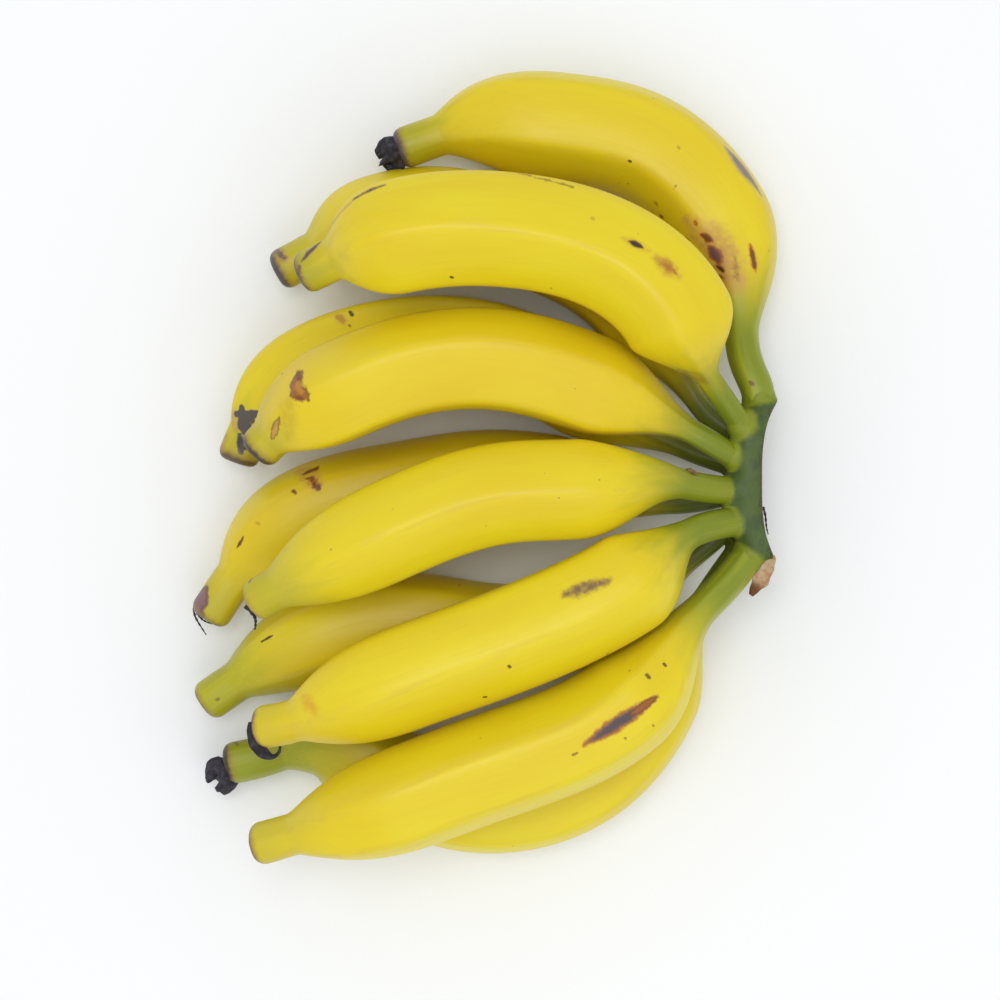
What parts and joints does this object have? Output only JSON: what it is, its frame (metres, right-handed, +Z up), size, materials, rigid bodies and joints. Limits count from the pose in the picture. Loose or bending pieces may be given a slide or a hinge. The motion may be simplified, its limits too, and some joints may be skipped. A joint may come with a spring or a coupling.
{
  "type": "banana hand",
  "caption": "Hand of short, thick ripe bananas grown from a shared green crown, lying flat with its fingers curved in an upper and a lower row. Food for a table, kitchen or shop scene.",
  "frame": {"origin": "on the surface the hand lies on, under the middle of its box", "axes": "+Z up from the surface, +X towards the crown with the finger tips towards -X, +Y across the hand"},
  "size_m": [0.1776, 0.2368, 0.0686],
  "materials": {
    "skin": "waxy ripe yellow peel",
    "stem": "fresh green stem"
  },
  "bodies": {
    "root": {"crown": "stem", "finger_upper_1": "skin", "finger_upper_2": "skin", "finger_upper_3": "skin", "finger_upper_4": "skin", "finger_upper_5": "skin", "finger_upper_6": "skin", "finger_lower_1": "skin", "finger_lower_2": "skin", "finger_lower_3": "skin", "finger_lower_4": "skin", "finger_lower_5": "skin"}
  },
  "joints": []
}
